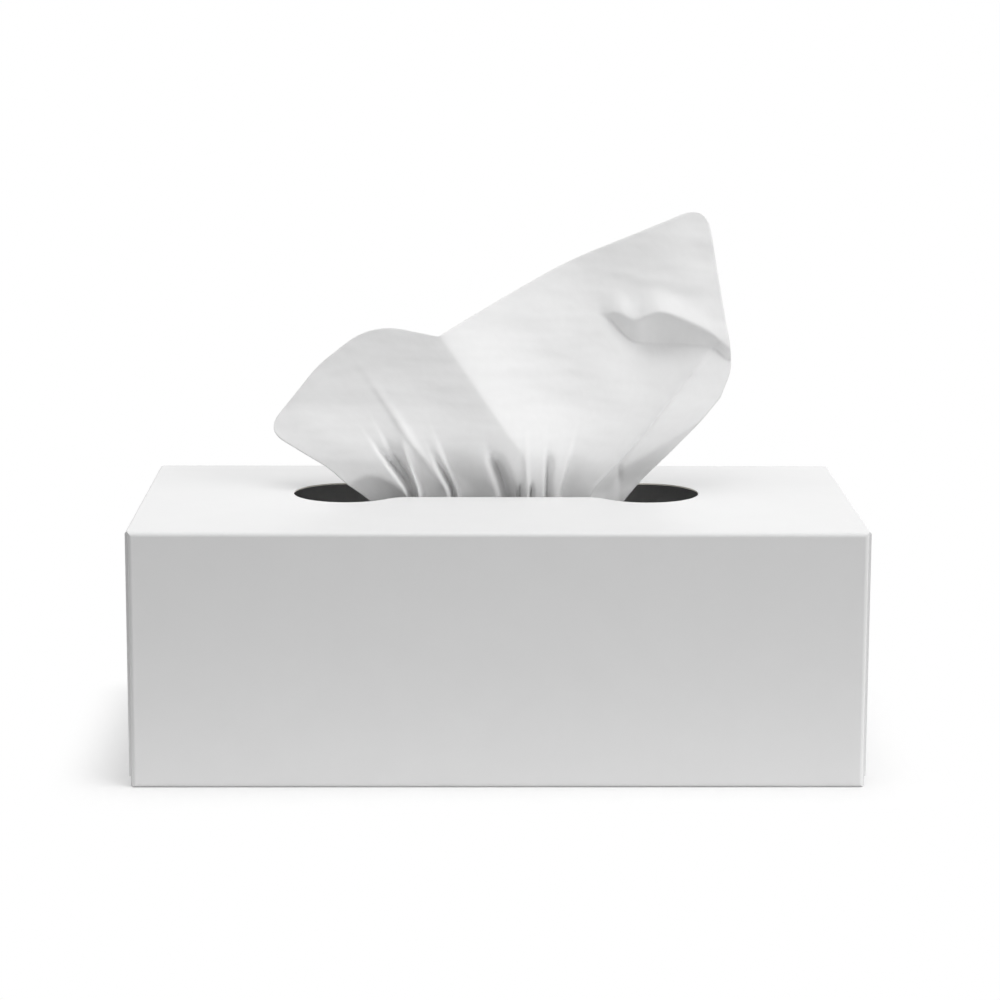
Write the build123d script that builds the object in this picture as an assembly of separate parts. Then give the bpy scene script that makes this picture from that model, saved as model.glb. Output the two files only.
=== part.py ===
"""A white card tissue box: a glued folding carton with a dumbbell slot, the stack of
interleaved sheets inside it, and the top sheet standing gathered in the slot.

Millimetres. +Z is up and +Y points to the back of the box. The origin is on the table,
under the middle of the carton.
"""

from build123d import *
import math
import os

# Carton, outside sizes
CARTON_LENGTH = 230.0
CARTON_DEPTH = 120.0
CARTON_HEIGHT = 81.0
BOARD = 0.45
FOLD_RADIUS = 1.3

# Dumbbell slot cut in the top panel, a little behind its middle: two round lobes and a narrow waist
SLOT_LENGTH = 133.0
SLOT_SETBACK = 8.0
LOBE_RADIUS = 17.5
WAIST_WIDTH = 16.0
WAIST_BLEND = 9.0

# Glued end closure and back seam
FLAP_SIDE_MARGIN = 1.9
OUTER_FLAP_MARGIN = 3.2
INNER_FLAP_HEIGHT = 46.0
DUST_FLAP_LENGTH = 46.0
SEAM_TAB_HEIGHT = 15.0
SEAM_HEIGHT = 2.4
SEAM_GAP = 0.35

# Stack of interleaved sheets, folded once, and the room the carton leaves round it
STACK_END_ROOM = 8.65
STACK_SIDE_ROOM = 6.6
STACK_HEADROOM = 25.08
FOLD_BUNDLES = 14
FOLD_BULGE = 1.2
STACK_SEAT = 0.02

# Top sheet, standing in the slot
SHEET_THICKNESS = 0.5
SHEET_SEAT = 0.2
LOBE_OVERLAP = 11.0
PLEAT_CLEARANCE = 3.5
PLEAT_REACH = 21.0
FAN_DEPTH = 39.0
FAN_CENTRE = 5.0
# Gathers across the slot, as (place over half the gathered width, share of the full depth, width)
PLEATS = [
    (-0.95, 0.60, 2.8),
    (-0.65, 1.00, 3.2),
    (-0.48, 0.40, 2.4),
    (-0.33, 0.90, 2.4),
    (-0.12, 0.50, 2.8),
    (0.09, 1.00, 2.8),
    (0.26, 0.50, 2.2),
    (0.40, 1.00, 2.4),
    (0.56, 0.60, 2.6),
    (0.86, 0.90, 3.2),
]

# Outline of the sheet seen from the front, as (out past the end of the gathers, above the top panel)
FOOT_HEIGHT = -2.4
LEFT_TIP = (33.8, 17.6)
LEFT_SHOULDER = (5.8, 49.9)
LEFT_CREST = (-11.5, 54.3)
NOTCH = (-23.3, 50.0)
RIGHT_TIP = (26.5, 92.7)
RIGHT_ELBOW = (35.7, 39.5)
RIGHT_HEEL = (30.5, 27.3)
LEFT_TIP_RADIUS = 5.0
SHOULDER_RADIUS = 25.0
CREST_RADIUS = 22.0
TOP_EDGE_BOW = 2.7
TOP_EDGE_RADIUS = 220.0
RIGHT_TIP_RADIUS = 4.5
ELBOW_RADIUS = 18.0
HEEL_RADIUS = 3.0

# Large folds of the sheet: slopes are depth over distance
RIDGE_FOOT = 9.5
RIDGE_BEND = 12.0
RIDGE_LEAN = 0.72
LEFT_WING_SLOPE = 0.26
RIDGE_SIDE_SLOPE = 0.3
RIDGE_SIDE_WIDTH = 14.0
TROUGH_DEPTH = 6.0
FLAP_INSET = 12.0
FLAP_LEAN = 0.86
RIGHT_FLAP_SLOPE = 0.75
SHEET_LEAN = 0.28
LEAN_START = 14.0
CREASE_HEIGHT = 55.0
CREASE_FALL = 0.2
CREASE_STEP = 7.0
CREASE_WIDTH = 4.5
CREASE_INSET = 9.5
CREASE_LENGTH = 18.0
BULGE_REACH = 20.0
FOLD_SOFTNESS = 2.0
SPREAD_HEIGHT = 30.0

# Creases and bands that the gathered surface is folded into, and how far it runs past the outline
CREASES_ACROSS = 66
BANDS = 14
BAND_GROWTH = 1.25
SHEET_MARGIN = 8.0

HALF_LENGTH = CARTON_LENGTH / 2
HALF_DEPTH = CARTON_DEPTH / 2
LOBE_CENTRE = SLOT_LENGTH / 2 - LOBE_RADIUS
# The glued ends are three boards thick: dust flaps, inner flap, outer flap.
END_PLANE = HALF_LENGTH - 2 * BOARD
# The stack is as wide as one sheet and half as deep, with room to slide into the open carton.
SHEET_WIDTH = CARTON_LENGTH - 2 * (3 * BOARD + STACK_END_ROOM)
FOLDED_SHEET_DEPTH = CARTON_DEPTH - 2 * (2 * BOARD + STACK_SIDE_ROOM)
STACK_HEIGHT = CARTON_HEIGHT - 2 * BOARD - STACK_SEAT - STACK_HEADROOM
STACK_TOP = BOARD + STACK_SEAT + STACK_HEIGHT
SHEET_BASE = LOBE_CENTRE - LOBE_RADIUS + LOBE_OVERLAP
FLAP_FOOT = SHEET_BASE - FLAP_INSET
CREASE_START = SHEET_BASE - CREASE_INSET


def along_x(sketch, start, end):
    """Extrudes a sketch of the YZ plane from one X to another."""
    return extrude(Plane.YZ.offset(start) * sketch, end - start)


def panel(x_span, y_span, z_span):
    """A flat piece of board between two corners."""
    spans = (x_span, y_span, z_span)
    size = [high - low for low, high in spans]
    middle = [(high + low) / 2 for low, high in spans]
    return Pos(*middle) * Box(*size)


def slot_sketch():
    """The dumbbell slot, seen from above."""
    lobes = [Pos(side * LOBE_CENTRE, 0) * Circle(LOBE_RADIUS) for side in (-1, 1)]
    slot = Rectangle(2 * LOBE_CENTRE, WAIST_WIDTH) + lobes
    inner = [v for v in slot.vertices() if abs(v.X) < LOBE_CENTRE]
    return Pos(0, SLOT_SETBACK) * fillet(inner, WAIST_BLEND)


def end_closure(side):
    """The glued flaps of one end: the inner flap off the bottom panel, the outer off the top."""
    half_width = HALF_DEPTH - FLAP_SIDE_MARGIN
    width = (-half_width, half_width)
    inner_face = END_PLANE + BOARD
    inner = panel((END_PLANE, inner_face), width, (0, INNER_FLAP_HEIGHT))
    inner = fillet(inner.edges().filter_by(Axis.Y).group_by(Axis.Z)[0].sort_by(Axis.X)[-1], BOARD * 0.9)
    outer = panel((END_PLANE, HALF_LENGTH), width, (OUTER_FLAP_MARGIN, CARTON_HEIGHT))
    top_fold = outer.edges().filter_by(Axis.Y).group_by(Axis.Z)[-1].sort_by(Axis.X)[-1]
    outer = fillet(top_fold, BOARD * 1.8)
    closure = inner + outer
    return closure if side > 0 else mirror(closure, Plane.YZ)


def make_carton():
    """The folded carton: four panels, two glued ends, the back seam and the slot."""
    body = panel((-END_PLANE, END_PLANE), (-HALF_DEPTH, HALF_DEPTH), (0, CARTON_HEIGHT))
    folds = body.edges().filter_by(Axis.X) + body.edges().filter_by(Axis.Z)
    body = fillet(folds, FOLD_RADIUS)

    room = panel(
        (-END_PLANE + BOARD, END_PLANE - BOARD),
        (-HALF_DEPTH + BOARD, HALF_DEPTH - BOARD),
        (BOARD, CARTON_HEIGHT - BOARD),
    )
    room = fillet(room.edges().filter_by(Axis.X) + room.edges().filter_by(Axis.Z), FOLD_RADIUS - BOARD)
    carton = body - room

    for side in (-1, 1):
        carton += end_closure(side)
        # Between the two dust flaps the inner and outer flaps show from inside.
        gap = HALF_DEPTH - DUST_FLAP_LENGTH
        low, high = sorted((side * (END_PLANE - BOARD), side * END_PLANE))
        carton -= panel((low, high), (-gap, gap), (FOLD_RADIUS, CARTON_HEIGHT - FOLD_RADIUS))

    # The bottom panel's tab is glued inside the back panel, whose raw edge shows as a seam.
    inner_back = HALF_DEPTH - BOARD
    tab_half = END_PLANE - BOARD
    seam_half = END_PLANE - FOLD_RADIUS
    carton += panel((-tab_half, tab_half), (inner_back - BOARD, inner_back), (BOARD, SEAM_TAB_HEIGHT))
    carton -= panel(
        (-seam_half, seam_half),
        (inner_back, HALF_DEPTH),
        (SEAM_HEIGHT, SEAM_HEIGHT + SEAM_GAP),
    )

    slot = extrude(Plane.XY.offset(CARTON_HEIGHT - 2 * BOARD) * slot_sketch(), 3 * BOARD)
    return carton - slot


def make_stack():
    """The interleaved sheets as one block, with the bundles of folds rounded front and back."""
    half = FOLDED_SHEET_DEPTH / 2 - FOLD_BULGE
    pitch = STACK_HEIGHT / FOLD_BUNDLES
    foot = BOARD + STACK_SEAT
    with BuildSketch() as profile:
        with BuildLine():
            Line((-half, foot), (half, foot))
            for i in range(FOLD_BUNDLES):
                low = foot + i * pitch
                ThreePointArc((half, low), (half + FOLD_BULGE, low + pitch / 2), (half, low + pitch))
            Line((half, STACK_TOP), (-half, STACK_TOP))
            for i in range(FOLD_BUNDLES):
                high = STACK_TOP - i * pitch
                ThreePointArc((-half, high), (-half - FOLD_BULGE, high - pitch / 2), (-half, high - pitch))
        make_face()
    return along_x(profile.sketch, -SHEET_WIDTH / 2, SHEET_WIDTH / 2)


def ease(value, span):
    """Rises smoothly from 0 to 1 as value goes from 0 to span."""
    share = min(1.0, max(0.0, value / span))
    return share * share * (3 - 2 * share)


def beyond(distance):
    """Distance past a fold line, with the fold rounded; 0 well before it."""
    return FOLD_SOFTNESS * math.log1p(math.exp(min(60.0, distance / FOLD_SOFTNESS)))


def fan_spread(above):
    """How many times wider the fan of pleats is than at the slot."""
    return 1 + beyond(above) / FAN_DEPTH


def sheet_depth(x, above):
    """How far back the standing sheet lies at a point across and above the top panel."""
    height = beyond(above)
    at_slot = FAN_CENTRE + (x - FAN_CENTRE) / fan_spread(above)
    gather = sum(
        share * math.exp(-(((at_slot - place * SHEET_BASE) / width) ** 2))
        for place, share, width in PLEATS
    )
    pleat = (1 - 2 * math.exp(-2 * gather)) * (WAIST_WIDTH / 2 - PLEAT_CLEARANCE)
    pleat *= math.exp(-height / PLEAT_REACH)

    open_up = ease(height, SPREAD_HEIGHT)
    lean = SHEET_LEAN * (height - LEAN_START * (1 - math.exp(-height / LEAN_START)))
    ridge = RIDGE_FOOT - RIDGE_LEAN * beyond(height - RIDGE_BEND)
    flap = FLAP_FOOT + FLAP_LEAN * height
    left = beyond(ridge - x)
    left_wing = LEFT_WING_SLOPE * left
    left_wing += RIDGE_SIDE_SLOPE * RIDGE_SIDE_WIDTH * (1 - math.exp(-left / RIDGE_SIDE_WIDTH))
    right_flap = RIGHT_FLAP_SLOPE * beyond(x - flap)
    along = min(1.0, max(0.0, (x - ridge) / (flap - ridge)))
    trough = TROUGH_DEPTH * 4 * along * (1 - along)
    crease = height - CREASE_HEIGHT + CREASE_FALL * (x - CREASE_START)
    bulge = CREASE_STEP * ease(crease + CREASE_WIDTH, 2 * CREASE_WIDTH)
    bulge *= math.exp(-max(0.0, crease) / BULGE_REACH) * ease(x - CREASE_START, CREASE_LENGTH)
    return SLOT_SETBACK + pleat + lean + open_up * (left_wing + trough + right_flap) - bulge


def sheet_outline():
    """The sheet's edge, seen from the front, from inside the box up round the free edge and down."""
    inside = (0, -CARTON_HEIGHT)
    foot = (0, FOOT_HEIGHT)
    left = [Vector(-SHEET_BASE - out, above) for out, above in (
        inside, foot, LEFT_TIP, LEFT_SHOULDER, LEFT_CREST, NOTCH
    )]
    right = [Vector(SHEET_BASE + out, above) for out, above in (
        RIGHT_TIP, RIGHT_ELBOW, RIGHT_HEEL, foot, inside
    )]
    # The free edge bows up between the notch and the right tip.
    run = right[0] - left[-1]
    bow = (left[-1] + right[0]) / 2 + Vector(-run.Y, run.X).normalized() * TOP_EDGE_BOW
    radii = [0, LEFT_TIP_RADIUS, LEFT_TIP_RADIUS, SHOULDER_RADIUS, CREST_RADIUS, 0]
    radii += [TOP_EDGE_RADIUS, RIGHT_TIP_RADIUS, ELBOW_RADIUS, HEEL_RADIUS, LEFT_TIP_RADIUS, 0]
    return make_face(FilletPolyline(*left, bow, *right, radius=radii, close=True))


def sheet_section(above, half_width):
    """The closed cross section of the standing sheet at one height, in short creases."""
    front = []
    for i in range(CREASES_ACROSS + 1):
        x = half_width * (2 * i / CREASES_ACROSS - 1)
        front.append(Vector(x, sheet_depth(x, above), above + CARTON_HEIGHT))
    back = []
    for i, point in enumerate(front):
        along = front[min(i + 1, CREASES_ACROSS)] - front[max(i - 1, 0)]
        back.append(point + Vector(-along.Y, along.X, 0).normalized() * SHEET_THICKNESS)
    return Wire.make_polygon(front + back[::-1], close=True)


def make_sheet():
    """The top sheet: pleated cross sections joined up from the stack, cut to the outline."""
    outline = sheet_outline()
    low = STACK_TOP + SHEET_SEAT - CARTON_HEIGHT
    high = outline.bounding_box().max.Y + SHEET_MARGIN
    widest = SHEET_BASE + max(LEFT_TIP[0], RIGHT_TIP[0], RIGHT_ELBOW[0]) + SHEET_MARGIN
    # Sections lie closer together near the slot, where the pleats are deepest.
    heights = [low, -3 * FOLD_SOFTNESS]
    heights += [high * (i / BANDS) ** BAND_GROWTH for i in range(BANDS + 1)]
    sections = []
    for above in heights:
        fan = (SHEET_BASE + SHEET_MARGIN) * fan_spread(above)
        sections.append(sheet_section(above, (fan ** -6 + widest ** -6) ** (-1 / 6)))
    sheet = Solid.make_loft(sections, ruled=True)

    cutter_plane = Plane((0, HALF_DEPTH, CARTON_HEIGHT), x_dir=(1, 0, 0), z_dir=(0, -1, 0))
    return sheet & extrude(cutter_plane * outline, CARTON_DEPTH)


def main():
    os.makedirs("parts", exist_ok=True)
    pieces = {
        "carton": make_carton(),
        "sheet_stack": make_stack(),
        "top_sheet": make_sheet(),
    }
    for name, piece in pieces.items():
        export_step(piece, f"parts/{name}.step")


if __name__ == "__main__":
    main()
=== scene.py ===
"""Looks of a white card tissue box: its board, the stacked sheets inside, and the sheet in its slot.

Metres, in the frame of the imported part: +X along the box, +Y to its back, +Z up, table at z = 0.
The sheet is laid out in millimetres across, back, and above the top panel, and scaled at the end.
"""

import math

import bpy
import numpy as np
from mathutils import Matrix, Vector, noise


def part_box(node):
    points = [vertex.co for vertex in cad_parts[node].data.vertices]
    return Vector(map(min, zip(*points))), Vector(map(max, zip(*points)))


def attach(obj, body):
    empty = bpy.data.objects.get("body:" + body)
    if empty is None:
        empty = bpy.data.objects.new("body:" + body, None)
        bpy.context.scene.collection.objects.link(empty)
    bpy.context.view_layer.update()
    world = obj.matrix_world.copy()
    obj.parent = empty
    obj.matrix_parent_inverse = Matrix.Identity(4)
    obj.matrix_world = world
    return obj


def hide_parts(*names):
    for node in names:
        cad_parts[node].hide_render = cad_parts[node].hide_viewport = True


bl_info = {
    "name": "Tissue Box",
    "version": (1, 0, 0),
    "blender": (4, 5, 0),
    "location": "3D View > Sidebar > Tissue Box",
    "description": "Finishes a tissue carton and folds the sheet that stands in its slot",
    "category": "Object",
}

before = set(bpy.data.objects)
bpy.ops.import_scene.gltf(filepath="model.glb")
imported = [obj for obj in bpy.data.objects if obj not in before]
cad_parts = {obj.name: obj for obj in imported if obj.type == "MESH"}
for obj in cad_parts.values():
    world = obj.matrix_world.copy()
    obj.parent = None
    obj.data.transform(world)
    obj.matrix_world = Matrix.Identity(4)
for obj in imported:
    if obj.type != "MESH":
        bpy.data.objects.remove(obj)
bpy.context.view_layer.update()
CARTON_LOW, CARTON_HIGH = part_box("carton")
STACK_LOW, STACK_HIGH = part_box("sheet_stack")

FLAT_MAP = "flat_sheet"
MM = 0.001
TOP = CARTON_HIGH[2] / MM
STACK_TOP = STACK_HIGH[2] / MM
STACK_BACK = STACK_HIGH[1] / MM


def linear(hex_colour):
    """A linear RGBA colour from an sRGB hex value such as #F2F2F1."""
    channels = [int(hex_colour[i:i + 2], 16) / 255 for i in (1, 3, 5)]
    straight = [c / 12.92 if c <= 0.04045 else ((c + 0.055) / 1.055) ** 2.4 for c in channels]
    return (*straight, 1.0)


def colour_property(name, description, hex_colour):
    """A colour that a user can change."""
    return bpy.props.FloatVectorProperty(
        name=name,
        description=description,
        default=linear(hex_colour),
        size=4,
        min=0,
        max=1,
        subtype="COLOR",
    )


def length_property(name, description, millimetres):
    """A length that a user can change."""
    return bpy.props.FloatProperty(
        name=name, description=description, default=millimetres * MM, min=0, precision=5, unit="LENGTH"
    )


class CartonLooks(bpy.types.PropertyGroup):
    """Colours and scale of the carton's board."""

    outside: colour_property("Outside", "Coated white face of the board", "#E5E5E5")
    inside: colour_property("Inside", "Uncoated back of the board", "#EBEBEB")
    cut_edge: colour_property("Cut edge", "Raw pulp along the die-cut slot", "#E6E2DA")
    board: length_property("Board", "Thickness of the board", 0.45)
    fold_radius: length_property("Fold radius", "Outer radius of the creased folds", 1.3)
    fibre: length_property("Fibre", "Spacing of the fibres that show through the coating", 0.7)
    cloud: length_property("Cloud", "Width of the faint clouds in the coating", 14.0)


class StackLooks(bpy.types.PropertyGroup):
    """The folded sheets that wait in the box."""

    colour: colour_property("Colour", "White of the folded sheets", "#EDEDED")
    sheets: bpy.props.IntProperty(
        name="Sheets", description="Folded sheets drawn, each for about three real ones", default=44, min=1
    )
    crepe: length_property("Crepe", "Spacing of the soft crepe ridges, far coarser than real ones", 5.655)
    stagger: length_property("Stagger", "How far a fold may stand out from the others", 0.7)
    seed: bpy.props.IntProperty(name="Seed", description="Seed of the uneven folds", default=5)


class SheetLooks(bpy.types.PropertyGroup):
    """The sheet that stands gathered in the slot."""

    colour: colour_property("Colour", "White of the top sheet", "#F7F7F7")
    flat: length_property("Flat size", "Side of the square sheet before it is folded", 210.0)
    thickness: length_property("Thickness", "Thickness of both plies together", 0.16)
    crepe: length_property("Crepe", "Spacing of the soft crepe ridges, far coarser than real ones", 5.655)
    columns: bpy.props.IntProperty(name="Columns", description="Faces across the sheet", default=240, min=20)
    rows: bpy.props.IntProperty(name="Rows", description="Faces up the standing part", default=155, min=20)


class StageLooks(bpy.types.PropertyGroup):
    """Camera, lamps and floor."""

    place: bpy.props.FloatVectorProperty(
        name="Camera place",
        description="Where the camera stands",
        default=(-0.012275, -0.983757, 0.26516),
        subtype="TRANSLATION",
        unit="LENGTH",
    )
    turn: bpy.props.FloatProperty(
        name="Turn", description="Camera's turn to the right", default=0.01362, subtype="ANGLE"
    )
    dip: bpy.props.FloatProperty(
        name="Dip", description="How far the camera looks down", default=0.18598, subtype="ANGLE"
    )
    roll: bpy.props.FloatProperty(name="Roll", description="Camera's roll", default=0.00348, subtype="ANGLE")
    lens: bpy.props.FloatProperty(
        name="Lens", description="Focal length on a 36 mm sensor", default=110.41, min=1, unit="CAMERA"
    )
    softbox: bpy.props.FloatProperty(
        name="Softbox", description="Power of the lamp overhead", default=8.5, min=0, unit="POWER"
    )
    side_lamp: bpy.props.FloatProperty(
        name="Side lamp", description="Power of the lamp at the right", default=25.0, min=0, unit="POWER"
    )
    lit_backdrop: bpy.props.FloatProperty(
        name="Lit backdrop", description="Power of the light from behind", default=3.0, min=0, unit="POWER"
    )
    room_light: bpy.props.FloatProperty(
        name="Room light", description="Strength of the light from all round", default=0.455, min=0
    )
    floor: colour_property("Floor", "Pale floor as it is seen", "#FBFBFB")
    # Painted pool of light: the floor lights the box with a pale colour close by and a grey one further off,
    # out to the paper reach
    painted_pool_floor: colour_property("Near floor", "Floor by the box, as it lights the box", "#E8E8E8")
    painted_dim_floor: colour_property("Far floor", "Floor further off, as it lights the box", "#808080")
    shadow_reach: length_property("Shadow reach", "How far from the box the floor shows its shadow", 28.0)
    painted_pool_reach: length_property("Paper reach", "How far from the box the floor gives much light", 180.0)


class TissueBoxLooks(bpy.types.PropertyGroup):
    """Everything that can be set on the tissue box."""

    carton: bpy.props.PointerProperty(type=CartonLooks)
    stack: bpy.props.PointerProperty(type=StackLooks)
    sheet: bpy.props.PointerProperty(type=SheetLooks)
    stage: bpy.props.PointerProperty(type=StageLooks)


# Nodes and materials

# Depths in the board, in thicknesses of board from the outside of the carton
BACK_FACE_IN = 0.93
END_FLAPS_IN = 2.3
CUT_EDGE_IN = 1.05

# A face is a cut edge only if its normal rises less than this
SIDEWAYS = 0.5

# Tissue: the share of light that passes through the plies, and the width of clumps of pulp
LET_THROUGH = 0.33
PULP_CLUMP = 3 * MM

# Radians that the wave texture turns in one unit
WAVE_RADIANS = 20


def add_node(tree, kind, inputs=None, out=0, **settings):
    """Adds a node with its settings and returns one of its outputs, or the node itself if it has none.

    An input is a value, or the output of another node, which is linked to it.
    """
    node = tree.nodes.new(kind)
    for name, value in settings.items():
        setattr(node, name, value)
    for key, value in (inputs or {}).items():
        if isinstance(value, bpy.types.NodeSocket):
            tree.links.new(value, node.inputs[key])
        else:
            node.inputs[key].default_value = value
    return node.outputs[out] if node.outputs else node


def new_material(name):
    """An empty node material and its tree."""
    material = bpy.data.materials.new(name)
    material.use_nodes = True
    material.node_tree.nodes.clear()
    return material, material.node_tree


def coated_board(looks):
    """Clay-coated folding board, die-cut and creased: a smooth matt white face over pale pulp.

    The coating is even, with faint clouds and a fine tooth where fibres show through. The back is
    plain pale pulp, and the die leaves a cream edge along the cut slot.
    """
    material, tree = new_material("coated_folding_board_die_cut")
    place = add_node(tree, "ShaderNodeTexCoord", out="Object")
    middle = (0, 0, (CARTON_LOW[2] + CARTON_HIGH[2]) / 2)
    centred = add_node(tree, "ShaderNodeVectorMath", {0: place, 1: middle}, operation="SUBTRACT")
    folded = add_node(tree, "ShaderNodeVectorMath", {0: centred}, operation="ABSOLUTE")
    across, back, up = (add_node(tree, "ShaderNodeSeparateXYZ", {0: folded}, out=axis) for axis in "XYZ")

    # The back of the board is its thickness under the rounded outside of the four panels
    straight_y = CARTON_HIGH[1] - looks.fold_radius
    straight_z = (CARTON_HIGH[2] - CARTON_LOW[2]) / 2 - looks.fold_radius
    beyond_y = add_node(tree, "ShaderNodeMath", {0: back, 1: straight_y}, operation="SUBTRACT")
    beyond_z = add_node(tree, "ShaderNodeMath", {0: up, 1: straight_z}, operation="SUBTRACT")
    beyond = add_node(tree, "ShaderNodeCombineXYZ", {"Y": beyond_y, "Z": beyond_z})
    rounded = add_node(tree, "ShaderNodeVectorMath", {0: beyond, 1: (0, 0, 0)}, operation="MAXIMUM")
    reach = add_node(tree, "ShaderNodeVectorMath", {0: rounded}, out="Value", operation="LENGTH")
    back_face = looks.fold_radius - BACK_FACE_IN * looks.board
    under = add_node(tree, "ShaderNodeMath", {0: reach, 1: back_face}, operation="LESS_THAN")
    end_plane = CARTON_HIGH[0] - END_FLAPS_IN * looks.board
    before_end = add_node(tree, "ShaderNodeMath", {0: across, 1: end_plane}, operation="LESS_THAN")
    inside = add_node(tree, "ShaderNodeMath", {0: under, 1: before_end}, operation="MULTIPLY")

    # The cut edge faces sideways, within the thickness of the top panel
    facing = add_node(tree, "ShaderNodeNewGeometry", out="True Normal")
    level = add_node(tree, "ShaderNodeSeparateXYZ", {0: facing}, out="Z")
    slant = add_node(tree, "ShaderNodeMath", {0: level}, operation="ABSOLUTE")
    sideways = add_node(tree, "ShaderNodeMath", {0: slant, 1: SIDEWAYS}, operation="LESS_THAN")
    panel_foot = middle[2] - CARTON_LOW[2] - CUT_EDGE_IN * looks.board
    in_top = add_node(tree, "ShaderNodeMath", {0: up, 1: panel_foot}, operation="GREATER_THAN")
    off_fold = add_node(tree, "ShaderNodeMath", {0: back, 1: straight_y}, operation="LESS_THAN")
    cut = add_node(tree, "ShaderNodeMath", {0: in_top, 1: off_fold}, operation="MULTIPLY")
    cut = add_node(tree, "ShaderNodeMath", {0: cut, 1: sideways}, operation="MULTIPLY")
    cut = add_node(tree, "ShaderNodeMath", {0: cut, 1: before_end}, operation="MULTIPLY")

    cloud = add_node(tree, "ShaderNodeTexNoise", {"Vector": place, "Scale": 1 / looks.cloud, "Detail": 3.0})
    clouded = add_node(tree, "ShaderNodeMapRange", {"Value": cloud, "To Min": 0.97, "To Max": 1.0})
    board = add_node(
        tree, "ShaderNodeMix", {0: inside, 6: looks.outside, 7: looks.inside}, out=2, data_type="RGBA"
    )
    board = add_node(tree, "ShaderNodeMix", {0: cut, 6: board, 7: looks.cut_edge}, out=2, data_type="RGBA")
    board = add_node(tree, "ShaderNodeVectorMath", {0: board, 1: clouded}, operation="MULTIPLY")

    fibres = add_node(
        tree,
        "ShaderNodeTexNoise",
        {"Vector": place, "Scale": 1 / looks.fibre, "Detail": 4.0, "Roughness": 0.6},
    )
    tooth = add_node(tree, "ShaderNodeBump", {"Height": fibres, "Strength": 0.12, "Distance": 0.08 * MM})
    rough = add_node(tree, "ShaderNodeMapRange", {"Value": fibres, "To Min": 0.5, "To Max": 0.62})
    shader = add_node(
        tree,
        "ShaderNodeBsdfPrincipled",
        {"Base Color": board, "Roughness": rough, "Normal": tooth, "IOR": 1.47, "Specular IOR Level": 0.25},
    )
    add_node(tree, "ShaderNodeOutputMaterial", {"Surface": shader})
    return material


def creped_tissue(name, colour, crepe, uv_map=None):
    """Two-ply creped tissue: soft white pulp, fluffy and matt, with soft ridges across the sheet.

    Light passes through the thin plies, so shaded folds stay pale; loose fibres give a dull sheen.
    """
    material, tree = new_material(name)
    if uv_map:
        place = add_node(tree, "ShaderNodeUVMap", out="UV", uv_map=uv_map)
    else:
        place = add_node(tree, "ShaderNodeTexCoord", out="Object")
    ridges = add_node(
        tree,
        "ShaderNodeTexWave",
        {
            "Vector": place,
            "Scale": math.tau / (WAVE_RADIANS * crepe),
            "Distortion": 3.0,
            "Detail": 2.0,
            "Detail Scale": 1.5,
        },
        out="Fac",
        bands_direction="Y",
    )
    pulp = add_node(tree, "ShaderNodeTexNoise", {"Vector": place, "Scale": 1 / PULP_CLUMP, "Detail": 4.0})
    uneven = add_node(tree, "ShaderNodeMapRange", {"Value": pulp, "To Min": 0.96, "To Max": 1.0})
    tinted = add_node(tree, "ShaderNodeVectorMath", {0: colour[:3], 1: uneven}, operation="MULTIPLY")
    relief = add_node(tree, "ShaderNodeMath", {0: ridges, 1: pulp}, operation="ADD")
    bump = add_node(tree, "ShaderNodeBump", {"Height": relief, "Strength": 0.25, "Distance": 0.1 * MM})
    pulp_face = add_node(
        tree,
        "ShaderNodeBsdfPrincipled",
        {
            "Base Color": tinted,
            "Roughness": 0.95,
            "Normal": bump,
            "Specular IOR Level": 0.2,
            "Sheen Weight": 0.1,
            "Sheen Roughness": 0.6,
        },
    )
    let_through = add_node(tree, "ShaderNodeBsdfTranslucent", {"Color": tinted, "Normal": bump})
    shader = add_node(tree, "ShaderNodeMixShader", {0: LET_THROUGH, 1: pulp_face, 2: let_through})
    add_node(tree, "ShaderNodeOutputMaterial", {"Surface": shader})
    return material


def seen_directly(tree):
    """1 for rays that show a surface to the eye, also by reflection or through glass; 0 for other light."""
    rays = add_node(tree, "ShaderNodeLightPath").node.outputs
    shown = add_node(
        tree, "ShaderNodeMath", {0: rays["Is Camera Ray"], 1: rays["Is Glossy Ray"]}, operation="MAXIMUM"
    )
    return add_node(tree, "ShaderNodeMath", {0: shown, 1: rays["Is Transmission Ray"]}, operation="MAXIMUM")


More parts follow.
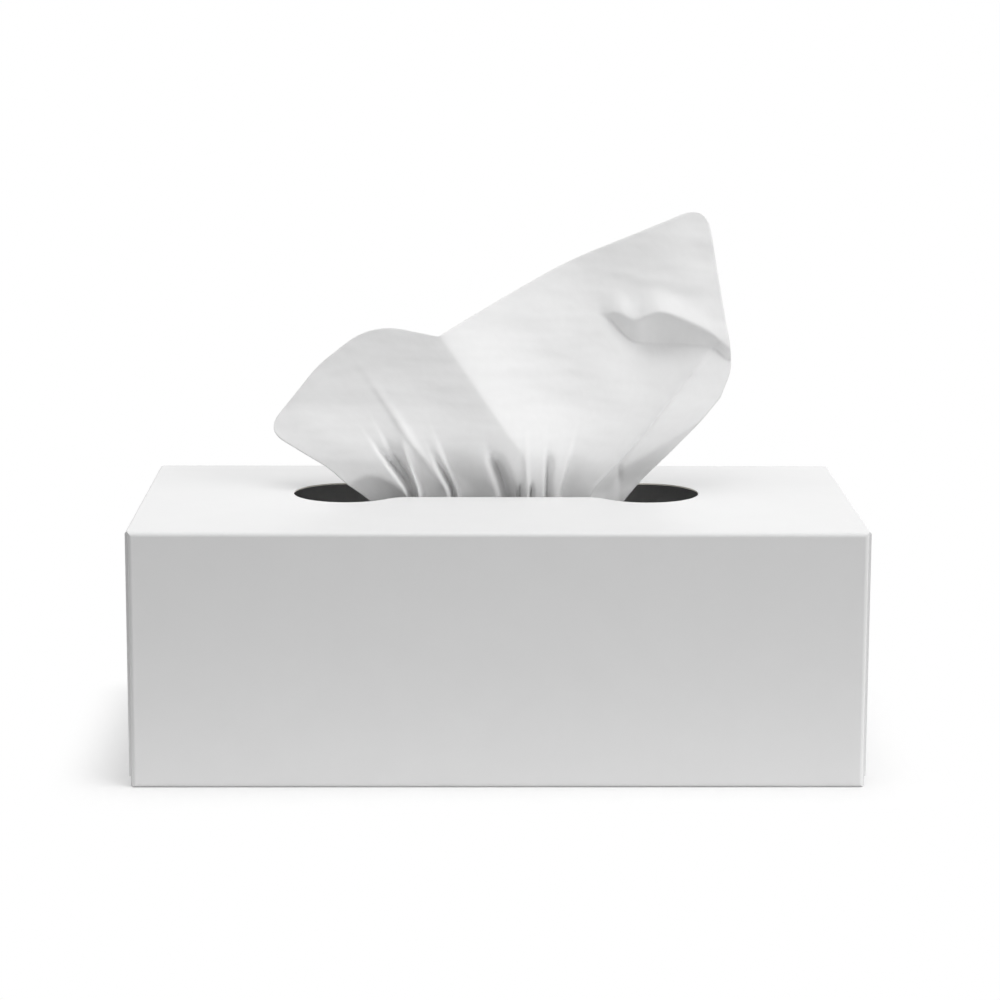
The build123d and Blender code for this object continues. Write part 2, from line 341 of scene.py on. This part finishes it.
def pale_floor(looks):
    """Matt white paper sweep: it takes the box's soft shadow, and is plain white further off.

    The light that the floor gives is a painted pool of light: its colour for that light is pale by the box
    and grey further off, so most of the light that the floor gives comes from close by.
    """
    material, tree = new_material("matt_white_paper_sweep")
    place = add_node(tree, "ShaderNodeTexCoord", out="Object")
    folded = add_node(tree, "ShaderNodeVectorMath", {0: place}, operation="ABSOLUTE")
    half_size = (CARTON_HIGH[0], CARTON_HIGH[1], 0)
    beside = add_node(tree, "ShaderNodeVectorMath", {0: folded, 1: half_size}, operation="SUBTRACT")
    beside = add_node(tree, "ShaderNodeVectorMath", {0: beside, 1: (0, 0, 0)}, operation="MAXIMUM")
    away = add_node(tree, "ShaderNodeVectorMath", {0: beside}, out="Value", operation="LENGTH")
    far, painted_pool_fade = (
        add_node(
            tree,
            "ShaderNodeMapRange",
            {"Value": away, "From Max": reach},
            interpolation_type="SMOOTHSTEP",
        )
        for reach in (looks.shadow_reach, looks.painted_pool_reach)
    )
    shown = seen_directly(tree)
    share = add_node(tree, "ShaderNodeMath", {0: shown, 1: far}, operation="MULTIPLY")
    # Painted pool of light: the colour that lights the box fades from pale by the box to grey further off
    lighting = add_node(
        tree, "ShaderNodeMix", {0: painted_pool_fade, 6: looks.painted_pool_floor, 7: looks.painted_dim_floor}, out=2, data_type="RGBA"
    )
    colour = add_node(tree, "ShaderNodeMix", {0: shown, 6: lighting, 7: looks.floor}, out=2, data_type="RGBA")
    paper = add_node(tree, "ShaderNodeBsdfDiffuse", {"Color": colour})
    white = add_node(tree, "ShaderNodeEmission", {"Color": (1, 1, 1, 1), "Strength": 1.0})
    mixed = add_node(tree, "ShaderNodeMixShader", {0: share, 1: paper, 2: white})
    add_node(tree, "ShaderNodeOutputMaterial", {"Surface": mixed})
    return material


def add_piece(name, mesh, body, node):
    """Links a finished mesh to the scene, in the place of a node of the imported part."""
    piece = bpy.data.objects.new(name, mesh)
    bpy.context.scene.collection.objects.link(piece)
    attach(piece, body)
    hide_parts(node)
    return piece


def plain_mesh(mesh, add_modifier):
    """A mesh with one modifier applied: a passing object carries it, and is removed again."""
    carrier = bpy.data.objects.new("carrier", mesh)
    bpy.context.scene.collection.objects.link(carrier)
    add_modifier(carrier)
    graph = bpy.context.evaluated_depsgraph_get()
    made = bpy.data.meshes.new_from_object(carrier.evaluated_get(graph), depsgraph=graph)
    bpy.data.objects.remove(carrier)
    return made


# Stack of folded sheets

# Radius of a fold over the pitch of the sheets, just short of a full half circle
FOLD_ROUNDING = 0.48


def stack_tree():
    """Geometry nodes that pile up folded sheets with rounded, slightly uneven folds."""
    tree = bpy.data.node_groups.new("folded_sheet_stack", "GeometryNodeTree")
    kinds = {
        "Sheets": "NodeSocketInt",
        "Seed": "NodeSocketInt",
        "Width": "NodeSocketFloat",
        "Depth": "NodeSocketFloat",
        "Pitch": "NodeSocketFloat",
        "Foot": "NodeSocketFloat",
        "Stagger": "NodeSocketFloat",
        "Material": "NodeSocketMaterial",
    }
    for name, kind in kinds.items():
        tree.interface.new_socket(name=name, in_out="INPUT", socket_type=kind)
    tree.interface.new_socket(name="Geometry", in_out="OUTPUT", socket_type="NodeSocketGeometry")
    given = add_node(tree, "NodeGroupInput").node.outputs

    half_pitch = add_node(tree, "ShaderNodeMath", {0: given["Pitch"], 1: 0.5}, operation="MULTIPLY")
    first = add_node(tree, "ShaderNodeMath", {0: given["Foot"], 1: half_pitch}, operation="ADD")
    start = add_node(tree, "ShaderNodeCombineXYZ", {"Z": first})
    step = add_node(tree, "ShaderNodeCombineXYZ", {"Z": given["Pitch"]})
    line = add_node(
        tree, "GeometryNodeMeshLine", {"Count": given["Sheets"], "Start Location": start, "Offset": step}
    )
    most = add_node(tree, "ShaderNodeCombineXYZ", {"X": given["Stagger"], "Y": given["Stagger"]})
    least = add_node(tree, "ShaderNodeVectorMath", {0: most, 1: (-1, -1, -1)}, operation="MULTIPLY")
    shift = add_node(
        tree,
        "FunctionNodeRandomValue",
        {"Min": least, "Max": most, "Seed": given["Seed"]},
        data_type="FLOAT_VECTOR",
    )
    uneven = add_node(tree, "GeometryNodeSetPosition", {"Geometry": line, "Offset": shift})

    section = add_node(
        tree, "GeometryNodeCurvePrimitiveQuadrilateral", {"Width": given["Depth"], "Height": given["Pitch"]}
    )
    fold = add_node(tree, "ShaderNodeMath", {0: given["Pitch"], 1: FOLD_ROUNDING}, operation="MULTIPLY")
    rounded = add_node(
        tree, "GeometryNodeFilletCurve", {"Curve": section, "Radius": fold, "Count": 3}, mode="POLY"
    )
    right_x = add_node(tree, "ShaderNodeMath", {0: given["Width"], 1: 0.5}, operation="MULTIPLY")
    left_x = add_node(tree, "ShaderNodeMath", {0: given["Width"], 1: -0.5}, operation="MULTIPLY")
    left = add_node(tree, "ShaderNodeCombineXYZ", {"X": left_x})
    right = add_node(tree, "ShaderNodeCombineXYZ", {"X": right_x})
    path = add_node(tree, "GeometryNodeCurvePrimitiveLine", {"Start": left, "End": right})
    folded = add_node(
        tree, "GeometryNodeCurveToMesh", {"Curve": path, "Profile Curve": rounded, "Fill Caps": True}
    )
    piled = add_node(tree, "GeometryNodeInstanceOnPoints", {"Points": uneven, "Instance": folded})
    real = add_node(tree, "GeometryNodeRealizeInstances", {"Geometry": piled})
    painted = add_node(tree, "GeometryNodeSetMaterial", {"Geometry": real, "Material": given["Material"]})
    add_node(tree, "NodeGroupOutput", {"Geometry": painted})
    return tree


# Sheet in the slot: (across, above the top panel) in millimetres

SLOT_SETBACK = 8.0
SLOT_SOFTNESS = 1.0
FOOT_HEIGHT = -5.2
LEFT_FOOT = (-39.4, FOOT_HEIGHT)
LEFT_HEM = (-55.0, 8.0)
LEFT_TIP = (-76.0, 19.0)
LEFT_SIDE = (-58.8, 40.5)
LEFT_SHOULDER = (-41.0, 54.6)
NOTCH = (-19.2, 50.8)
TOP_EDGE = (24.5, 74.2)
RIGHT_TIP = (69.6, 93.1)
RIGHT_ELBOW = (77.8, 40.0)
RIGHT_HEEL = (74.0, 30.6)
RIGHT_FOOT = (42.5, FOOT_HEIGHT)

# Edge of the standing part, from foot to foot: (corner, radius)
OUTLINE = (
    (LEFT_FOOT, 0),
    (LEFT_HEM, 30),
    (LEFT_TIP, 5.5),
    (LEFT_SIDE, 40),
    (LEFT_SHOULDER, 24),
    (NOTCH, 1.5),
    (TOP_EDGE, 220),
    (RIGHT_TIP, 7.5),
    (RIGHT_ELBOW, 14),
    (RIGHT_HEEL, 4),
    (RIGHT_FOOT, 0),
)
CORNER_STEPS = 12

# Large folds: slopes are depth over distance, and the roll is slope over distance
SHEET_LEAN = 0.28
LEAN_START = 14.0
OPEN_HEIGHT = 30.0
RIDGE_FOOT = 9.5
RIDGE_BEND = 12.0
RIDGE_LEAN = 0.72
RIDGE_SOFTNESS = 0.8
LEFT_WING_SLOPE = 0.2
RIDGE_SIDE_SLOPE = 0.08
RIDGE_SIDE_WIDTH = 14.0
FLAP_FOOT = 30.5
FLAP_LEAN = 0.86
FLAP_SLOPE = 0.3
FLAP_ROLL = 0.02
FLAP_SOFTNESS = 0.6
TROUGH_DEPTH = 8.5
TROUGH_SHIFT = 1.15

# Edges that curl: the left hem turns back, and the free edge nods forward towards its ends
HEM_CURL = 0.3
HEM_CURL_WIDTH = 10.0
HEM_CURL_START = 10.0
NOD_SLOPE = 0.08
NOD_WIDTH = 14.0
NOD_SOFTNESS = 3.0
NOD_CENTRE = 10.0
NOD_SPREAD = 50.0

# The right half bulges over a sagging pocket, between these two lines
POCKET_TOP = (
    (36, 57),
    (40.5, 58),
    (45.3, 54.8),
    (51, 58.3),
    (55.3, 58.6),
    (61.8, 56.1),
    (69.7, 52.6),
    (78, 46),
)
POCKET_FOOT = (
    (36, 57),
    (40.4, 52.2),
    (44.3, 48),
    (49, 47.1),
    (71.4, 47.4),
    (73.8, 44.9),
    (78, 41.5),
)
POCKET_SLOPE = 1.1
POCKET_DEPTH = 6.0
POCKET_START = 28.0
POCKET_LENGTH = 24.0
POCKET_END = 58.0
POCKET_LOSS = 0.5
POCKET_FADE = 8.0
POCKET_REACH = 24.0
POCKET_ROUNDING = 2.2
POCKET_SAMPLES = 5
LEAST_SAG = 0.001

# Over both lobes the sheet tucks under: below a curved rim at the left, below a straight line at the right
TUCK_CENTRE = -41.0
TUCK_HEIGHT = 5.6
TUCK_CURVE = 0.047
TUCK_SLOPE = 0.75
TUCK_DEPTH = 6.0
TUCK_SOFTNESS = 0.4
RIGHT_TUCK = ((40.0, 7.5), (51.0, 13.8))
RIGHT_TUCK_SLOPE = 1.2
RIGHT_TUCK_DEPTH = 10.0
RIGHT_TUCK_STEP = 1.5
RIGHT_TUCK_FLAP_STEP = 6.0
RIGHT_TUCK_FLAP_SHARE = 0.4

# Gathers: (place across, lean over height, depth to the back, width to the left, width to the right,
# growth of the right width over height, height at which half the depth is left, taper)
GATHERS = (
    (-27.9, -0.76, 12.0, 0.6, 1.7, 0.24, 10.5, 2.0),
    (-27.0, -0.55, 6.0, 0.6, 0.8, 0.20, 11.0, 3.0),
    (-23.6, -0.40, 6.5, 0.9, 6.0, 0.01, 10.0, 2.8),
    (-14.0, -0.50, 7.0, 1.0, 1.2, 0.04, 9.0, 2.0),
    (-11.4, -0.42, 8.0, 0.9, 8.5, 0.01, 10.0, 2.5),
    (3.5, -0.38, 11.0, 1.6, 2.4, 0.01, 10.5, 1.5),
    (7.8, -0.05, 3.5, 0.7, 0.7, 0.00, 2.0, 0.8),
    (11.4, 0.05, 3.5, 0.7, 0.7, 0.00, 2.0, 0.8),
    (16.7, 0.00, 3.4, 0.8, 1.0, 0.06, 11.5, 1.6),
    (21.6, 0.25, 5.0, 0.9, 6.5, 0.02, 8.0, 3.5),
    (40.3, 0.00, 2.5, 0.9, 0.8, 0.00, 8.0, 1.6),
    (10.1, -0.04, -1.0, 0.8, 0.8, 0.00, 12.0, 3.0),
    (-15.6, -0.72, -0.9, 1.3, 1.3, 0.02, 29.0, 5.0),
    (-12.6, -0.45, -1.0, 0.7, 0.7, 0.00, 8.0, 2.0),
    (-25.4, -0.30, -3.2, 1.0, 1.4, 0.05, 13.0, 4.0),
    (30.4, 0.86, -0.9, 0.8, 0.8, 0.00, 44.0, 8.0),
)

# The gathers are brought forward to the middle of the slot's waist, and held in a room that opens upwards
GATHER_MIDDLE = 2.0
WAIST_ROOM = 5.5
WAIST_OPENING = 2.5

# Above the slot the sheet swells forward
BELLY_DEPTH = 6.6
BELLY_HEIGHT = 21.0

# Soft unevenness of the open sheet, drawn out along its crepe: (width, height, depth)
WAVES = ((22.0, 20.0, 1.2), (12.0, 6.0, 0.35), (8.0, 2.4, 0.1))

# Below the slot: the sheet turns back along the stack, folds under and lies forward on it
BEND_RADIUS = 9.0
FOLD_RADIUS = 1.1
LYING_GAP = 0.4
FOLD_INSET = 6.0
LYING_FRONT = -48.0
LYING_SPREAD = 2.42
GATHER_LIFT = 4.5
LOWER_STEP = 4.5


def smooth(value):
    """Rises from 0 to 1 with level ends."""
    share = np.clip(value, 0, 1)
    return share * share * (3 - 2 * share)


def past(distance, softness):
    """Distance past a fold line, with the fold rounded; 0 well before it."""
    return softness * np.logaddexp(0, distance / softness)


def inward(x, above, start, end):
    """Distance from a straight edge of the sheet, to the left of the way from start to end."""
    run = np.subtract(end, start)
    return (run[0] * (above - start[1]) - run[1] * (x - start[0])) / math.hypot(*run)


def sheet_depth(x, above):
    """How far behind the slot's middle line the sheet stands, at points across and above."""
    up = past(above, SLOT_SOFTNESS)
    opened = smooth(up / OPEN_HEIGHT)
    lean = SHEET_LEAN * (up - LEAN_START * (1 - np.exp(-up / LEAN_START)))
    ridge = RIDGE_FOOT - RIDGE_LEAN * past(above - RIDGE_BEND, RIDGE_SOFTNESS)
    flap = FLAP_FOOT + FLAP_LEAN * up
    left = past(ridge - x, RIDGE_SOFTNESS)
    ridge_side = RIDGE_SIDE_WIDTH * (1 - np.exp(-left / RIDGE_SIDE_WIDTH))
    left_wing = LEFT_WING_SLOPE * left + RIDGE_SIDE_SLOPE * ridge_side
    right = past(x - flap, FLAP_SOFTNESS)
    right_flap = (FLAP_SLOPE + FLAP_ROLL * right / 2) * right
    along = np.clip((x - ridge) / (flap - ridge), 0, 1) ** TROUGH_SHIFT
    trough = TROUGH_DEPTH * 4 * along * (1 - along)
    belly = BELLY_DEPTH * (up / BELLY_HEIGHT * np.exp(1 - up / BELLY_HEIGHT)) ** 2
    depth = lean + (left_wing + trough) * opened + right_flap - belly

    gathered = -GATHER_MIDDLE * np.exp(-up / LEAN_START)
    for place, slant, deep, left_width, right_width, growth, height, taper in GATHERS:
        off = x - place - slant * up
        off = off / np.where(off < 0, left_width, right_width * (1 + growth * up))
        gathered += deep * np.exp(-off * off) / (1 + np.exp((up - height) / taper))
    room = WAIST_ROOM + WAIST_OPENING * up
    depth += room * np.tanh(gathered / room)

    rim = TUCK_HEIGHT - TUCK_CURVE * (x - TUCK_CENTRE) ** 2
    depth += TUCK_DEPTH * np.tanh(TUCK_SLOPE * past(rim - above, TUCK_SOFTNESS) / TUCK_DEPTH)
    below = RIGHT_TUCK_SLOPE * past(-inward(x, above, *RIGHT_TUCK), TUCK_SOFTNESS)
    on_flap = smooth((x - flap) / RIGHT_TUCK_FLAP_STEP)
    on_line = smooth((x - RIGHT_TUCK[0][0]) / RIGHT_TUCK_STEP)
    beside = RIGHT_TUCK_FLAP_SHARE * on_flap + (1 - RIGHT_TUCK_FLAP_SHARE) * on_line
    depth += beside * RIGHT_TUCK_DEPTH * np.tanh(below / RIGHT_TUCK_DEPTH)
    curl = HEM_CURL * past(HEM_CURL_WIDTH - inward(x, above, LEFT_TIP, LEFT_FOOT), NOD_SOFTNESS)
    depth += curl * smooth(up / HEM_CURL_START)
    for start, end in ((NOTCH, LEFT_SHOULDER), (RIGHT_TIP, TOP_EDGE)):
        nod = NOD_SLOPE * past(NOD_WIDTH - inward(x, above, start, end), NOD_SOFTNESS)
        depth -= nod * smooth(np.abs(x - NOD_CENTRE) / NOD_SPREAD)

    steps = POCKET_ROUNDING * np.linspace(-1, 1, POCKET_SAMPLES)
    top, foot = (
        np.mean([np.interp(x + step, *np.transpose(line)) for step in steps], axis=0)
        for line in (POCKET_TOP, POCKET_FOOT)
    )
    sag = np.maximum(top - foot, LEAST_SAG)
    climb = np.clip((above - foot) / sag, 0, 1)
    away = np.maximum(above - top, 0) + np.maximum(foot - above, 0)
    calm = POCKET_DEPTH * smooth((x - POCKET_START) / POCKET_LENGTH)
    calm *= 1 - POCKET_LOSS * smooth((x - POCKET_END) / POCKET_LENGTH)
    step = POCKET_SLOPE * sag + (calm - POCKET_SLOPE * sag) * smooth(away / POCKET_FADE)
    return depth - (climb - 0.5) * step * np.exp(-away / POCKET_REACH)


def rounded_line(corners):
    """Points along straight runs whose corners, given as (point, radius), are rounded.

    Also gives the place in the list of the middle of each corner.
    """
    points = [np.array(corners[0][0], float)]
    middles = [0]
    for (before, _), (corner, radius), (after, _) in zip(corners, corners[1:], corners[2:]):
        corner = np.array(corner, float)
        ways = [np.array(end, float) - corner for end in (before, after)]
        ways = [way / np.linalg.norm(way) for way in ways]
        run = radius * math.tan(0.5 * math.acos(np.clip(-np.dot(*ways), -1, 1)))
        start, end = (corner + run * way for way in ways)
        middles.append(len(points) + CORNER_STEPS // 2)
        for t in np.linspace(0, 1, CORNER_STEPS + 1):
            points.append((1 - t) ** 2 * start + 2 * t * (1 - t) * corner + t ** 2 * end)
    middles.append(len(points))
    points.append(np.array(corners[-1][0], float))
    return np.array(points), middles


def evenly(points, count):
    """A line of points spaced again into this many equal steps."""
    gone = np.concatenate(([0], np.cumsum(np.linalg.norm(np.diff(points, axis=0), axis=1))))
    even = np.linspace(0, gone[-1], count + 1)
    return np.transpose([np.interp(even, gone, points[:, i]) for i in (0, 1)])


def standing_grid(columns, rows):
    """The standing part seen from the front: a grid between the slot, two hems and the free edge."""
    line, middles = rounded_line(OUTLINE)
    points = [point for point, radius in OUTLINE]
    left_tip, right_tip = (middles[points.index(tip)] for tip in (LEFT_TIP, RIGHT_TIP))
    left = evenly(line[:left_tip + 1], rows)
    high = evenly(line[left_tip:right_tip + 1], columns)
    right = evenly(line[right_tip:][::-1], rows)
    low = evenly(np.array((LEFT_FOOT, RIGHT_FOOT)), columns)
    u = np.linspace(0, 1, columns + 1)[None, :, None]
    v = np.linspace(0, 1, rows + 1)[:, None, None]
    between_ends = (1 - v) * low[None] + v * high[None]
    between_hems = (1 - u) * left[:, None] + u * right[:, None]
    corners = (1 - v) * ((1 - u) * low[0] + u * low[-1]) + v * ((1 - u) * high[0] + u * high[-1])
    return between_ends + between_hems - corners


def standing_points(columns, rows):
    """The standing part in space, row by row from the slot up."""
    grid = standing_grid(columns, rows)
    x, above = grid[..., 0], grid[..., 1]
    y = SLOT_SETBACK + sheet_depth(x, above)
    for width, height, deep in WAVES:
        swell = [noise.noise(Vector((a / width, b / height, width))) for a, b in grid.reshape(-1, 2)]
        y += deep * np.array(swell).reshape(x.shape) * smooth(above / OPEN_HEIGHT)
    return np.stack((x, y, TOP + above), axis=-1)


def lower_points(foot):
    """The hidden part, row by row from the slot down, back, under and forward along the stack."""
    lower = STACK_TOP + LYING_GAP
    upper = lower + 2 * FOLD_RADIUS
    neck_end = upper + BEND_RADIUS
    fold_y = STACK_BACK - FOLD_INSET
    bend_y = SLOT_SETBACK + BEND_RADIUS
    neck = TOP + FOOT_HEIGHT - neck_end
    bend = BEND_RADIUS * math.pi / 2
    back = fold_y - bend_y
    fold = FOLD_RADIUS * math.pi
    forward = fold_y - LYING_FRONT
    total = neck + bend + back + fold + forward
    stops = np.cumsum([neck, bend, back, fold])
    steps = np.unique(np.concatenate((np.arange(LOWER_STEP, total, LOWER_STEP), stops, [total])))
    steps = np.sort(np.concatenate((steps, stops[2] + fold * np.array([0.25, 0.5, 0.75]))))
    rows = []
    for gone in steps:
        if gone <= stops[0]:
            y, z, turn = SLOT_SETBACK, neck_end + stops[0] - gone, 0
        elif gone <= stops[1]:
            turn = (gone - stops[0]) / BEND_RADIUS
            y = bend_y - BEND_RADIUS * math.cos(turn)
            z = neck_end - BEND_RADIUS * math.sin(turn)
        elif gone <= stops[2]:
            y, z, turn = bend_y + gone - stops[1], upper, math.pi / 2
        elif gone <= stops[3]:
            round_fold = (gone - stops[2]) / FOLD_RADIUS
            turn = math.pi / 2 + round_fold
            y = fold_y + FOLD_RADIUS * math.sin(round_fold)
            z = lower + FOLD_RADIUS * (1 + math.cos(round_fold))
        else:
            y, z, turn = fold_y - (gone - stops[3]), lower, 1.5 * math.pi
        laid = smooth((gone - stops[0]) / (stops[2] - stops[0]))
        across = foot[:, 0] * (1 + (LYING_SPREAD - 1) * laid)
        lift = GATHER_LIFT * math.sin(min(turn, math.pi / 2))
        push = (foot[:, 1] - SLOT_SETBACK + lift) * (1 - laid)
        rows.append(np.stack((across, y + push * math.cos(turn), z + push * math.sin(turn)), axis=-1))
    return np.array(rows), steps


def sheet_mesh(looks):
    """One grid for the whole sheet, with its flat size in a UV map, made as thick as its two plies."""
    standing = standing_points(looks.columns, looks.rows)
    hidden, steps = lower_points(standing[0])
    points = np.concatenate((hidden[::-1], standing))
    rows, columns = points.shape[0] - 1, points.shape[1] - 1
    climbs = np.linalg.norm(np.diff(standing[..., ::2], axis=0), axis=-1)
    heights = np.concatenate((np.zeros((1, columns + 1)), np.cumsum(climbs, axis=0)))
    along = np.concatenate((np.repeat(-steps[::-1, None], columns + 1, axis=1), heights)) * MM
    across = np.linspace(0, looks.flat, columns + 1)

    index = np.arange((rows + 1) * (columns + 1)).reshape(rows + 1, columns + 1)
    corners = (index[:-1, :-1], index[:-1, 1:], index[1:, 1:], index[1:, :-1])
    faces = np.stack(corners, axis=-1).reshape(-1, 4)
    mesh = bpy.data.meshes.new("top_sheet")
    mesh.from_pydata((points.reshape(-1, 3) * MM).tolist(), [], faces.tolist())
    mesh.shade_smooth()
    flat = np.stack((np.broadcast_to(across, along.shape), along), axis=-1).reshape(-1, 2)
    layer = mesh.uv_layers.new(name=FLAT_MAP)
    layer.uv.foreach_set("vector", flat[faces.reshape(-1)].reshape(-1).astype(np.float32))

    def thicken(carrier):
        plies = carrier.modifiers.new("plies", "SOLIDIFY")
        plies.thickness = looks.thickness
        plies.offset = 0

    return plain_mesh(mesh, thicken)


# Stage

SENSOR_WIDTH = 36
FLOOR_REACH = 4.0

# Lamps, all aimed at the carton's top: (width and height, place)
LAMPS = {
    "softbox": ((1.2, 1.2), (-0.1, -0.1, 1.3)),
    "side_lamp": ((2.0, 1.6), (1.75, -0.95, 0.85)),
    "lit_backdrop": ((2.0, 0.3), (0.2, 1.3, 0.4)),
}


def aim_camera(scene, looks):
    """Puts the camera where the box looks as it does in the photo."""
    camera = bpy.data.objects.new("camera", bpy.data.cameras.new("camera"))
    camera.data.lens = looks.lens
    camera.data.sensor_width = SENSOR_WIDTH
    turned = Matrix.Rotation(-looks.turn, 4, "Z") @ Matrix.Rotation(math.pi / 2 - looks.dip, 4, "X")
    camera.matrix_world = Matrix.Translation(looks.place) @ turned @ Matrix.Rotation(looks.roll, 4, "Z")
    scene.collection.objects.link(camera)
    scene.camera = camera


def hang_lamps(scene, looks):
    """Hangs the lamps, each with the power that is set under its name."""
    aim = Vector((0, 0, CARTON_HIGH[2]))
    for name, (size, place) in LAMPS.items():
        lamp = bpy.data.objects.new(name, bpy.data.lights.new(name, "AREA"))
        lamp.data.energy = getattr(looks, name)
        lamp.data.shape = "RECTANGLE"
        lamp.data.size, lamp.data.size_y = size
        turn = (aim - Vector(place)).to_track_quat("-Z", "Y").to_matrix().to_4x4()
        lamp.matrix_world = Matrix.Translation(place) @ turn
        scene.collection.objects.link(lamp)


def light_room(scene, looks):
    """A studio that is plain white to the eye, and lights the box a good deal less."""
    scene.world = bpy.data.worlds.new("studio")
    scene.world.use_nodes = True
    tree = scene.world.node_tree
    tree.nodes.clear()
    shown = seen_directly(tree)
    level = add_node(tree, "ShaderNodeMapRange", {"Value": shown, "To Min": looks.room_light, "To Max": 1.0})
    light = add_node(tree, "ShaderNodeBackground", {"Color": (1, 1, 1, 1), "Strength": level})
    add_node(tree, "ShaderNodeOutputWorld", {"Surface": light})


def lay_floor(scene, looks):
    """Lays a wide floor under the box."""
    mesh = bpy.data.meshes.new("floor")
    low, high = -FLOOR_REACH, FLOOR_REACH
    corners = [(low, low, 0), (high, low, 0), (high, high, 0), (low, high, 0)]
    mesh.from_pydata(corners, [], [(0, 1, 2, 3)])
    mesh.materials.append(pale_floor(looks))
    floor = bpy.data.objects.new("floor", mesh)
    scene.collection.objects.link(floor)


# Operators


class TISSUEBOX_OT_finish_carton(bpy.types.Operator):
    """Gives the carton its coated board"""

    bl_idname = "tissue_box.finish_carton"
    bl_label = "Finish Carton"

    def execute(self, context):
        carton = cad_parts["carton"]
        carton.data.materials.clear()
        carton.data.materials.append(coated_board(context.scene.tissue_box.carton))
        return {"FINISHED"}


class TISSUEBOX_OT_pile_sheets(bpy.types.Operator):
    """Piles up the folded sheets inside the carton"""

    bl_idname = "tissue_box.pile_sheets"
    bl_label = "Pile Sheets"

    def execute(self, context):
        looks = context.scene.tissue_box.stack
        paper = creped_tissue("stacked_creped_tissue", looks.colour, looks.crepe)
        tree = stack_tree()
        values = {
            "Sheets": looks.sheets,
            "Seed": looks.seed,
            "Width": STACK_HIGH[0] - STACK_LOW[0] - 2 * looks.stagger,
            "Depth": STACK_HIGH[1] - STACK_LOW[1] - 2 * looks.stagger,
            "Pitch": (STACK_HIGH[2] - STACK_LOW[2]) / looks.sheets,
            "Foot": STACK_LOW[2],
            "Stagger": looks.stagger,
            "Material": paper,
        }
        inputs = [item for item in tree.interface.items_tree if item.in_out == "INPUT"]
        sockets = {item.name: item.identifier for item in inputs}

        def pile(carrier):
            modifier = carrier.modifiers.new("pile", "NODES")
            modifier.node_group = tree
            for name, value in values.items():
                modifier[sockets[name]] = value

        mesh = plain_mesh(bpy.data.meshes.new("folded_sheets"), pile)
        add_piece("folded_sheets", mesh, "root", "sheet_stack")
        return {"FINISHED"}


class TISSUEBOX_OT_stand_sheet(bpy.types.Operator):
    """Stands the top sheet in the slot, gathered and folded"""

    bl_idname = "tissue_box.stand_sheet"
    bl_label = "Stand Sheet"

    def execute(self, context):
        looks = context.scene.tissue_box.sheet
        mesh = sheet_mesh(looks)
        mesh.materials.clear()
        mesh.materials.append(
            creped_tissue("creped_two_ply_tissue", looks.colour, looks.crepe, uv_map=FLAT_MAP)
        )
        piece = add_piece("standing_sheet", mesh, "root", "top_sheet")
        return {"FINISHED"}


class TISSUEBOX_OT_set_stage(bpy.types.Operator):
    """Sets up the floor, the lamps and the camera"""

    bl_idname = "tissue_box.set_stage"
    bl_label = "Set Stage"

    def execute(self, context):
        scene = context.scene
        looks = scene.tissue_box.stage
        scene.view_settings.view_transform = "Standard"
        aim_camera(scene, looks)
        hang_lamps(scene, looks)
        light_room(scene, looks)
        lay_floor(scene, looks)
        return {"FINISHED"}


class TISSUEBOX_PT_looks(bpy.types.Panel):
    """Lists the pieces and what can be set on them"""

    bl_idname = "TISSUEBOX_PT_looks"
    bl_label = "Tissue Box"
    bl_space_type = "VIEW_3D"
    bl_region_type = "UI"
    bl_category = "Tissue Box"

    def draw(self, context):
        looks = context.scene.tissue_box
        for operator, group in zip(OPERATORS, (looks.carton, looks.stack, looks.sheet, looks.stage)):
            box = self.layout.box()
            box.operator(operator.bl_idname)
            for name in group.__annotations__:
                box.prop(group, name)


GROUPS = (CartonLooks, StackLooks, SheetLooks, StageLooks, TissueBoxLooks)
OPERATORS = (
    TISSUEBOX_OT_finish_carton,
    TISSUEBOX_OT_pile_sheets,
    TISSUEBOX_OT_stand_sheet,
    TISSUEBOX_OT_set_stage,
)


def register():
    for kind in (*GROUPS, *OPERATORS, TISSUEBOX_PT_looks):
        bpy.utils.register_class(kind)
    bpy.types.Scene.tissue_box = bpy.props.PointerProperty(type=TissueBoxLooks)


def unregister():
    del bpy.types.Scene.tissue_box
    for kind in reversed((*GROUPS, *OPERATORS, TISSUEBOX_PT_looks)):
        bpy.utils.unregister_class(kind)


def main():
    register()
    bpy.ops.tissue_box.finish_carton()
    bpy.ops.tissue_box.pile_sheets()
    bpy.ops.tissue_box.stand_sheet()
    bpy.ops.tissue_box.set_stage()


if __name__ == "__main__":
    main()
